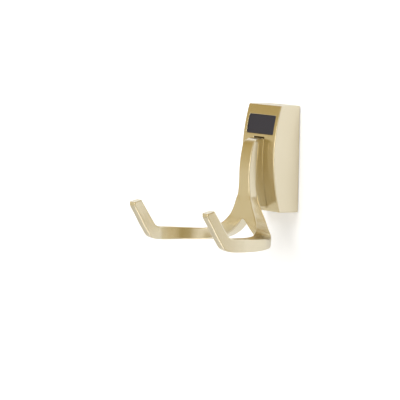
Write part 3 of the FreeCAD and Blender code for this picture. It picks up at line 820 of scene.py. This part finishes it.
@dataclass
class WallPost:
    """The cast cover: an arched front with a recess and a seat for the web, hollow from behind.

    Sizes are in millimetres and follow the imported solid's, with a slightly fuller crown. The two
    screw holes in the seat's floor stay closed, because the screws' heads cover them.

    Args:
        half_width: Half the post's width.
        half_height: Half its height.
        end_depth: Its depth at the upper and lower end.
        crown: How far the arch stands out past that.
        wall: Thickness of its walls.
        edge_round: Round of its front edges and of its outline's corners.
        rear_ease: Bevel round the edges on the wall.
        inset_box: The recess for the inset.
        inset_corner: Radius of its corners.
        inset_depth: Its depth behind the arch.
        seat_box: The seat for the web.
        seat_corner: Radius of its corners.
        seat_reach: Y of its floor.
        rim_round: Round of the rims of recess and seat.
        block_box: The block behind the seat.
        block_corner: Radius of its corners.
        block_reach: Y of its back.
        hollow_corner: Radius of the hollow's corners.
        hollow_middle: Y of the row halfway along the hollow's sides.
        border: Height at which the front's two zones meet.
        front_steps: Rows of the front from a zone's edge to a rim, both included.
        roof_steps: Rows of the hollow's roof, both ends included.
        block_shares: Rows of the block's back, from its middle outwards.
        floor_shares: Rows of a floor, from its edge to its middle.
        side_shares: Rows of the outer sides, from the wall to the front.
        tapped_radius: Radius of the tapped hole.
        tapped_y: Y of its middle.
        tapped_depth: Its depth, which is through the lower wall.
    """

    half_width: float = 18.4
    half_height: float = 32.0
    end_depth: float = 13.2
    crown: float = 4.6
    wall: float = 2.4
    edge_round: float = 0.6
    rear_ease: float = 0.2
    inset_box: Box = (-15.2, 15.2, 14.4, 25.9)
    inset_corner: float = 1.0
    inset_depth: float = 1.4
    seat_box: Box = (-5.95, 5.95, -29.55, 12.7)
    seat_corner: float = 0.4
    seat_reach: float = -12.0
    rim_round: float = 0.3
    block_box: Box = (-8.35, 8.35, -29.5, 15.1)
    block_corner: float = 0.8
    block_reach: float = -9.0
    hollow_corner: float = 1.0
    hollow_middle: float = -6.0
    border: float = 13.5
    front_steps: int = 6
    roof_steps: int = 5
    block_shares: tuple[float, ...] = (0.0, 0.5, 1.0)
    floor_shares: tuple[float, ...] = (0.0, 0.3, 0.6, 0.8, 1.0)
    side_shares: tuple[float, ...] = (0.0, 0.33, 0.66, 1.0)
    tapped_radius: float = 2.05
    tapped_y: float = -4.6
    tapped_depth: float = 4.8

    def front(self, height: np.ndarray, inset: float = 0.0) -> np.ndarray:
        """Y of the arched front: middle - sqrt((R - inset)^2 - z^2).

        Args:
            height: Heights z of the places.
            inset: How far behind the front the surface runs.

        Returns:
            The Y of each place.
        """
        radius = (self.half_height**2 + self.crown**2) / (2 * self.crown)
        middle = radius - self.end_depth - self.crown
        return middle - np.sqrt(np.maximum((radius - inset) ** 2 - height**2, 0.0))

    def inset_floor(self, height: np.ndarray) -> np.ndarray:
        """Y of the recess's floor, which follows the arch."""
        return self.front(height, self.inset_depth)

    def seat_floor(self, height: np.ndarray) -> np.ndarray:
        """Y of the seat's floor, which is flat."""
        return np.full(len(height), self.seat_reach)

    def outline(self, box: Box, radius: float) -> np.ndarray:
        """A closed row round a box, with a point of each upright side on the border line.

        Args:
            box: Left, right, low and high.
            radius: Corner radius.

        Returns:
            (x, z) points, the same number for every box.
        """
        left, right, low, high = box
        lower = loop(left, right, low, self.border, (radius, 0, 0, radius))
        upper = loop(left, right, self.border, high, (0, radius, radius, 0))
        return np.concatenate([*lower[0:2], *upper[0:7], *lower[5:8]])

    def zone(self, box: Box, hole: Box, corner: float,
             floor: Callable[[np.ndarray], np.ndarray]) -> list[np.ndarray]:
        """Rows of the front from a zone's edge to a hole in it, over the rim and down to the floor.

        A point between edge and hole is edge * (1 - t) + hole * t, set on the arch by its height.
        The rim is a quarter circle: outwards by r (1 - sin a), inwards by r (1 - cos a). The floor's
        points are middle + (hole - middle) * (1 - t).

        Args:
            box: The zone, which has square corners.
            hole: The hole.
            corner: The hole's corner radius.
            floor: Gives the Y of the hole's floor for heights.

        Returns:
            Closed rows of (x, y, z) points; the last is one point repeated.
        """
        edge, mouth = ring_round(box, 0.0), ring_round(grow(hole, self.rim_round), corner + self.rim_round)
        rows = []
        for share in np.linspace(0, 1, self.front_steps):
            flat = edge * (1 - share) + mouth * share
            rows.append(at_depth(flat, self.front(flat[:, 1])))
        for angle in RIM_ANGLES:
            out = self.rim_round * (1 - math.sin(angle))
            sunk = self.rim_round * (1 - math.cos(angle))
            flat = ring_round(grow(hole, out), corner + out)
            rows.append(at_depth(flat, self.front(flat[:, 1]) + sunk))
        ring, middle = ring_round(hole, corner), middle_of(hole)
        for share in self.floor_shares:
            flat = middle + (ring - middle) * (1 - share)
            rows.append(at_depth(flat, floor(flat[:, 1])))
        return rows

    def body_rows(self) -> list[np.ndarray]:
        """Rows from the middle of the seat block's back, round the hollow and the rim, to the front.

        The hollow's roof goes from block to walls, block * (1 - t) + hollow * t, one wall behind the
        arch. The front's rim is a quarter circle: pulled in by r (1 - cos a), forward by r sin a.

        Returns:
            Closed rows of (x, y, z) points.
        """
        cover = (-self.half_width, self.half_width, -self.half_height, self.half_height)
        block, middle = self.outline(self.block_box, self.block_corner), middle_of(self.block_box)
        hollow = self.outline(grow(cover, -self.wall), self.hollow_corner)
        rows = [at_depth(middle + (block - middle) * share, self.block_reach) for share in self.block_shares]
        for share in np.linspace(0, 1, self.roof_steps):
            flat = block * (1 - share) + hollow * share
            rows.append(at_depth(flat, self.front(flat[:, 1], self.wall)))
        rows += [at_depth(hollow, self.hollow_middle), at_depth(hollow, -self.rear_ease),
                 at_depth(self.outline(grow(cover, self.rear_ease - self.wall), self.hollow_corner), 0.0),
                 at_depth(self.outline(grow(cover, -self.rear_ease), self.edge_round), 0.0)]
        full = self.outline(cover, self.edge_round)
        start = self.front(full[:, 1]) + self.edge_round
        rows += [at_depth(full, -self.rear_ease + share * (start + self.rear_ease))
                 for share in self.side_shares]
        for angle in RIM_ANGLES:
            pulled = self.edge_round * (1 - math.cos(angle))
            flat = self.outline(grow(cover, -pulled), max(self.edge_round - pulled, 0.0))
            rows.append(at_depth(flat, self.front(flat[:, 1]) + self.edge_round * (1 - math.sin(angle))))
        return rows

    def build(self, finish: bpy.types.Material) -> bpy.types.Object:
        """Build the post and drill the tapped hole in its underside.

        Args:
            finish: The brass.

        Returns:
            The post.
        """
        across, top = self.half_width - self.edge_round, self.half_height - self.edge_round
        upper, lower = (-across, across, self.border, top), (-across, across, -top, self.border)
        sheets = [self.body_rows(),
                  self.zone(upper, self.inset_box, self.inset_corner, self.inset_floor),
                  self.zone(lower, self.seat_box, self.seat_corner, self.seat_floor)]
        piece = put_mesh("post_cover", *join_sheets(sheets), finish)
        weld(piece)
        drill(piece, (0.0, self.tapped_y, -self.half_height), self.tapped_radius, self.tapped_depth)
        weld(piece)
        smooth_by_angle(piece)
        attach(piece, "root")
        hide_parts("base_housing")
        return piece


@dataclass(frozen=True)
class SoftCard:
    """A card of light in the room, with a soft edge.

    Args:
        middle: Direction of its middle.
        start: Cosine of the angle from its middle at which it begins to show.
        full: Cosine of the angle within which it has its full colour.
        colour: Linear colour.
    """

    middle: Place
    start: float
    full: float
    colour: Colour


@dataclass
class Studio:
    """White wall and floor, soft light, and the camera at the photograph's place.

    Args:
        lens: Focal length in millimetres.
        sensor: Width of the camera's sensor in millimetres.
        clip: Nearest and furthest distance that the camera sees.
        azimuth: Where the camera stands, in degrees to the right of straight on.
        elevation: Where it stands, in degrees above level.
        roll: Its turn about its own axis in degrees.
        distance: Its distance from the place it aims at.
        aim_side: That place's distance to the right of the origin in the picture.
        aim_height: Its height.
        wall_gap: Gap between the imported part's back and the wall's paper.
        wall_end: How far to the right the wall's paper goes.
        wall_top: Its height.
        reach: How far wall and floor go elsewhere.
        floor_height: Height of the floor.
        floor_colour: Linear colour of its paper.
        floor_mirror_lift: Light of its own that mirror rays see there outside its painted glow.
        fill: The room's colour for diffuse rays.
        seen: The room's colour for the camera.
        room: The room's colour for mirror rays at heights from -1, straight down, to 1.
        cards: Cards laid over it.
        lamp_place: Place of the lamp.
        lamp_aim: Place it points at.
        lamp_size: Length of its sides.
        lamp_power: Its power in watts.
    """

    lens: float = 280.0
    sensor: float = 36.0
    clip: tuple[float, float] = (0.05, 20.0)
    azimuth: float = 59.51
    elevation: float = 4.60
    roll: float = -1.05
    distance: float = 1.881
    aim_side: float = -0.0495
    aim_height: float = -0.0269
    wall_gap: float = 0.0004
    wall_end: float = 0.15
    wall_top: float = 2.0
    reach: float = 2.5
    floor_height: float = -0.9
    floor_colour: Colour = (0.90, 0.86, 0.78)
    floor_mirror_lift: float = 0.03
    fill: Colour = (0.57, 0.57, 0.57)
    seen: Colour = (1.0, 1.0, 1.0)
    room: tuple[tuple[float, Colour], ...] = (
        (-1.0, (0.66, 0.59, 0.43)), (-0.30, (0.70, 0.62, 0.42)), (-0.08, (0.83, 0.75, 0.58)),
        (0.12, (0.55, 0.43, 0.18)), (0.45, (0.42, 0.29, 0.09)), (1.0, (0.80, 0.75, 0.60)),
    )
    cards: tuple[SoftCard, ...] = (
        SoftCard((0.86, 0.50, -0.05), 0.90, 0.97, (0.74, 0.68, 0.56)),
        SoftCard((0.25, -0.97, -0.10), 0.86, 0.93, (0.90, 0.86, 0.80)),
        SoftCard((0.20, -0.92, 0.33), 0.89, 0.97, (0.88, 0.83, 0.74)),
        SoftCard((0.86, -0.51, 0.02), 0.93, 0.992, (0.38, 0.29, 0.10)),
        SoftCard((0.30, -0.95, 0.05), 0.985, 0.995, (6.6, 6.4, 6.0)),
    )
    lamp_place: Place = (-0.10, -0.90, 0.90)
    lamp_aim: Place = (0.0, -0.03, -0.01)
    lamp_size: float = 1.2
    lamp_power: float = 12.0

    def place_camera(self) -> None:
        """Put the camera where the photograph was taken from, with its lens."""
        turn, rise, roll = (math.radians(angle) for angle in (self.azimuth, self.elevation, self.roll))
        ahead = Vector((-math.sin(turn) * math.cos(rise), math.cos(turn) * math.cos(rise), -math.sin(rise)))
        right = Vector((math.cos(turn), math.sin(turn), 0))
        up = right.cross(ahead)
        rolled_right = math.cos(roll) * right - math.sin(roll) * up
        rolled_up = math.sin(roll) * right + math.cos(roll) * up
        aim = self.aim_side * right + Vector((0, 0, self.aim_height))
        data = bpy.data.cameras.new("photo_camera")
        data.lens, data.sensor_width = self.lens, self.sensor
        data.clip_start, data.clip_end = self.clip
        camera = bpy.data.objects.new("photo_camera", data)
        axes = Matrix((rolled_right, rolled_up, -ahead)).transposed().to_4x4()
        camera.matrix_world = Matrix.Translation(aim - self.distance * ahead) @ axes
        bpy.context.scene.collection.objects.link(camera)
        bpy.context.scene.camera = camera

    def add_card(self, name: str, corners: list[Place], finish: bpy.types.Material) -> None:
        """Add a flat card to the scene.

        Args:
            name: Its name.
            corners: Its four corners, anticlockwise from its front.
            finish: Its paper.
        """
        card = put_mesh(name, np.array(corners), np.arange(4)[None], finish, unit=1.0)

    def build_set(self) -> None:
        """Add the wall that the hook hangs on and a pale floor below."""
        wall = StudioWhite("wall_paper").build()
        floor = StudioWhite("floor_paper", self.floor_colour, mirror_lift=self.floor_mirror_lift).build()
        far, end, y, low, top = self.reach, self.wall_end, self.wall_gap, self.floor_height, self.wall_top
        self.add_card("wall", [(-far, y, low), (end, y, low), (end, y, top), (-far, y, top)], wall)
        self.add_card("floor", [(-far, -far, low), (far, -far, low), (far, y, low), (-far, y, low)], floor)

    def hang_lamp(self) -> None:
        """Add a square soft lamp that points at the hook and isn't mirrored in the metal."""
        data = bpy.data.lights.new("high_softbox", "AREA")
        data.shape = "SQUARE"
        data.size = self.lamp_size
        data.energy = self.lamp_power
        lamp = bpy.data.objects.new("high_softbox", data)
        lamp.location = self.lamp_place
        towards = Vector(self.lamp_aim) - Vector(self.lamp_place)
        lamp.rotation_euler = towards.to_track_quat("-Z", "Y").to_euler()
        lamp.visible_glossy = False
        bpy.context.scene.collection.objects.link(lamp)

    def light_room(self) -> None:
        """Give the room a colour for each direction: a ramp over height, with soft cards over it.

        A card's mask is a smooth step of the dot product of direction and card middle, and a mix
        is below * (1 - mask) + colour * mask. Diffuse rays and the camera get a plain colour.
        """
        world = bpy.data.worlds.new("studio")
        bpy.context.scene.world = world
        world.use_nodes = True
        tree = world.node_tree
        direction = add_node(tree, "ShaderNodeTexCoord").outputs["Generated"]
        parts = add_node(tree, "ShaderNodeSeparateXYZ", {"Vector": direction})
        height = add_node(tree, "ShaderNodeMapRange", {"Value": parts.outputs["Z"], "From Min": -1.0})
        ramp = add_node(tree, "ShaderNodeValToRGB", {"Fac": height.outputs["Result"]})
        ramp.color_ramp.interpolation = "B_SPLINE"
        first, last = ramp.color_ramp.elements
        first.position, first.color = 0.0, (*self.room[0][1], 1.0)
        last.position, last.color = 1.0, (*self.room[-1][1], 1.0)
        for level, colour in self.room[1:-1]:
            ramp.color_ramp.elements.new((level + 1) / 2).color = (*colour, 1.0)
        layers = []
        for card in self.cards:
            near = add_node(tree, "ShaderNodeVectorMath", {
                0: direction, 1: Vector(card.middle).normalized()}, operation="DOT_PRODUCT")
            mask = add_node(tree, "ShaderNodeMapRange", {
                "Value": near.outputs["Value"], "From Min": card.start, "From Max": card.full},
                interpolation_type="SMOOTHSTEP")
            layers.append((mask.outputs["Result"], card.colour))
        ray = add_node(tree, "ShaderNodeLightPath")
        layers += [(ray.outputs["Is Diffuse Ray"], self.fill), (ray.outputs["Is Camera Ray"], self.seen)]
        room = ramp.outputs["Color"]
        for mask, colour in layers:
            mix = add_node(tree, "ShaderNodeMix", {"Factor": mask, "A": room, "B": (*colour, 1.0)},
                           data_type="RGBA")
            room = mix.outputs["Result"]
        feed(tree, tree.nodes["Background"], {"Color": room})

    def build(self) -> None:
        """Build the whole set, and show colours as they are written."""
        self.place_camera()
        self.build_set()
        self.light_room()
        self.hang_lamp()
        bpy.context.scene.view_settings.view_transform = "Standard"


def dress_nodes(nodes: dict[str, bpy.types.Object], finishes: dict[Slot, bpy.types.Material],
                record: dict[str, Any]) -> None:
    """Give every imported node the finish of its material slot.

    Args:
        nodes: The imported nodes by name.
        finishes: One material for each slot.
        record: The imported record.
    """
    slots = {entry["node"]: Slot(entry["material_slot"]) for entry in record["subparts"]}
    for name, node in nodes.items():
        node.data.materials.clear()
        node.data.materials.append(finishes[slots[name]])
        LOG.info("dressed %s in %s", name, slots[name].value)


def make_finishes() -> dict[Slot, bpy.types.Material]:
    """Make the object's three finishes.

    Returns:
        One material for each slot.
    """
    satin = SatinEffect().build()
    brass = SatinMetal("champagne_brass_finish", light=(0.82, 0.755, 0.59), dark=(0.78, 0.71, 0.54),
                       roughness=0.25, grain=1.2e-6)
    steel = SatinMetal("zinc_steel_finish", light=(0.66, 0.66, 0.64), dark=(0.54, 0.54, 0.53),
                       roughness=0.34, grain=4e-6)
    return {Slot.BRASS: brass.build(satin), Slot.INSET: CharcoalInset().build(),
            Slot.STEEL: steel.build(satin)}


def main() -> None:
    """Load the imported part, dress it and set the studio."""
    logging.basicConfig(level=logging.INFO, format="%(name)s: %(message)s")
    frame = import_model()
    finishes = make_finishes()
    dress_nodes(frame["nodes"], finishes, frame["record"])
    pieces = [WallPost().build(finishes[Slot.BRASS]), *ForkedHook().build(finishes[Slot.BRASS])]
    for piece in pieces:
        LOG.info("built %s with %d faces", piece.name, len(piece.data.polygons))
    Studio().build()


if __name__ == "__main__":
    main()
